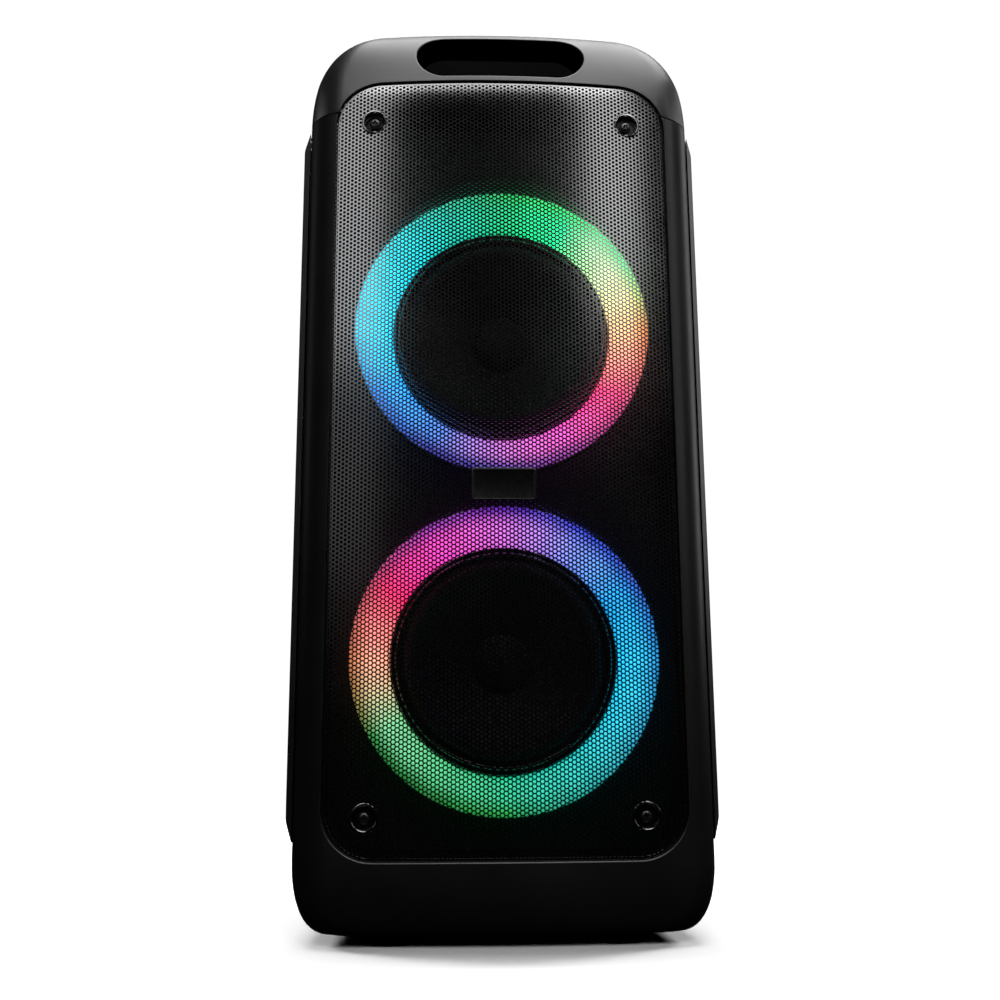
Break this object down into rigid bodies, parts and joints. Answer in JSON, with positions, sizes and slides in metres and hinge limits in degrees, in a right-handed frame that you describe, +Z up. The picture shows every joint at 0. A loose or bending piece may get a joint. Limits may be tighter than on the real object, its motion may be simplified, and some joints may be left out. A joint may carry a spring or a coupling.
{
  "type": "party speaker",
  "caption": "Tall black portable party speaker: rounded moulded tower with a slot handle in its top cap, a curved perforated grille over lit ring surrounds, and side guards.",
  "frame": {"origin": "centre of the bounding box at its base, on the ground under the middle of the body", "axes": "+Z up, the grille faces -Y, +X to the right of someone who looks at the front"},
  "size_m": [0.3048, 0.32, 0.7],
  "materials": {
    "shell": "fine moulded texture",
    "guard": "fine moulded texture",
    "grille": "satin black powder coat, perforated",
    "screw": "blackened steel",
    "gloss": "gloss",
    "rubber": "matte",
    "diffuser": "translucent, lit from behind in changing colours",
    "board": "solder mask",
    "cone": "coated paper",
    "ferrite": "matte ferrite and plated steel",
    "winding": "enamelled copper wire",
    "spider": "resin-stiffened weave",
    "fibreboard": "raw fibreboard",
    "aluminium": "satin",
    "basket": "pressed steel, black",
    "key": "soft-touch",
    "battery": "shrink wrap"
  },
  "bodies": {
    "enclosure": {"top_cap": "shell", "front_cabinet": "shell", "rear_cabinet": "shell", "side_guard_left": "guard", "side_guard_right": "guard", "front_grille": "grille", "badge_plate": "gloss", "baffle_board": "fibreboard", "control_panel": "gloss", "display_lens": "gloss", "control_board": "board", "connection_panel": "shell", "mic_jack": "gloss", "guitar_jack": "gloss", "usb_socket": "aluminium", "mains_inlet": "gloss", "bass_port": "shell", "battery_pack": "battery", "light_controller": "board", "amplifier_board": "board", "heat_sink": "aluminium", "power_supply": "board", "grille_screw_1": "screw", "foot_1": "rubber", "grille_screw_2": "screw", "foot_2": "rubber", "grille_screw_3": "screw", "foot_3": "rubber", "grille_screw_4": "screw", "foot_4": "rubber", "light_ring_upper": "diffuser", "led_board_upper": "board", "trim_ring_upper": "gloss", "basket_upper": "basket", "magnet_upper": "ferrite", "spider_upper": "spider", "surround_upper": "rubber", "light_ring_lower": "diffuser", "led_board_lower": "board", "trim_ring_lower": "gloss", "basket_lower": "basket", "magnet_lower": "ferrite", "spider_lower": "spider", "surround_lower": "rubber"},
    "volume_dial": {"volume_knob": "key"},
    "mic_dial": {"mic_knob": "key"},
    "guitar_dial": {"guitar_knob": "key"},
    "mains_rocker": {"power_rocker": "gloss"},
    "cone_assembly_upper": {"cone_upper": "cone", "dust_cap_upper": "cone", "voice_coil_upper": "winding"},
    "cone_assembly_lower": {"cone_lower": "cone", "dust_cap_lower": "cone", "voice_coil_lower": "winding"},
    "button_1": {"key_1": "key"},
    "button_2": {"key_2": "key"},
    "button_3": {"key_3": "key"},
    "button_4": {"key_4": "key"},
    "button_5": {"key_5": "key"},
    "button_6": {"key_6": "key"}
  },
  "joints": [
    {"name": "cone_slide_upper", "type": "slide", "parent": "enclosure", "child": "cone_assembly_upper", "axis": [0, -1, 0], "range_m": [-0.004, 0.004], "stiffness_N_per_m": 1500, "deforming": ["surround_upper", "spider_upper"]},
    {"name": "cone_slide_lower", "type": "slide", "parent": "enclosure", "child": "cone_assembly_lower", "axis": [0, -1, 0], "range_m": [-0.004, 0.004], "stiffness_N_per_m": 1500, "deforming": ["surround_lower", "spider_lower"]},
    {"name": "volume_turn", "type": "hinge", "parent": "enclosure", "child": "volume_dial", "pos_m": [0, 0.032, 0.694], "axis": [0, 0, 1], "continuous": true},
    {"name": "mic_turn", "type": "hinge", "parent": "enclosure", "child": "mic_dial", "pos_m": [-0.066, -0.014, 0.693], "axis": [0, 0, 1], "range_deg": [-150, 150]},
    {"name": "guitar_turn", "type": "hinge", "parent": "enclosure", "child": "guitar_dial", "pos_m": [0.066, -0.014, 0.693], "axis": [0, 0, 1], "range_deg": [-150, 150]},
    {"name": "button_press_1", "type": "slide", "parent": "enclosure", "child": "button_1", "axis": [0, 0, -1], "range_m": [0, 0.0012], "stiffness_N_per_m": 400, "springref_m": -0.001},
    {"name": "button_press_2", "type": "slide", "parent": "enclosure", "child": "button_2", "axis": [0, 0, -1], "range_m": [0, 0.0012], "stiffness_N_per_m": 400, "springref_m": -0.001},
    {"name": "button_press_3", "type": "slide", "parent": "enclosure", "child": "button_3", "axis": [0, 0, -1], "range_m": [0, 0.0012], "stiffness_N_per_m": 400, "springref_m": -0.001},
    {"name": "button_press_4", "type": "slide", "parent": "enclosure", "child": "button_4", "axis": [0, 0, -1], "range_m": [0, 0.0012], "stiffness_N_per_m": 400, "springref_m": -0.001},
    {"name": "button_press_5", "type": "slide", "parent": "enclosure", "child": "button_5", "axis": [0, 0, -1], "range_m": [0, 0.0012], "stiffness_N_per_m": 400, "springref_m": -0.001},
    {"name": "button_press_6", "type": "slide", "parent": "enclosure", "child": "button_6", "axis": [0, 0, -1], "range_m": [0, 0.0012], "stiffness_N_per_m": 400, "springref_m": -0.001},
    {"name": "rocker_tip", "type": "hinge", "parent": "enclosure", "child": "mains_rocker", "pos_m": [-0.044, 0.154, 0.122], "axis": [1, 0, 0], "range_deg": [0, 14]}
  ]
}
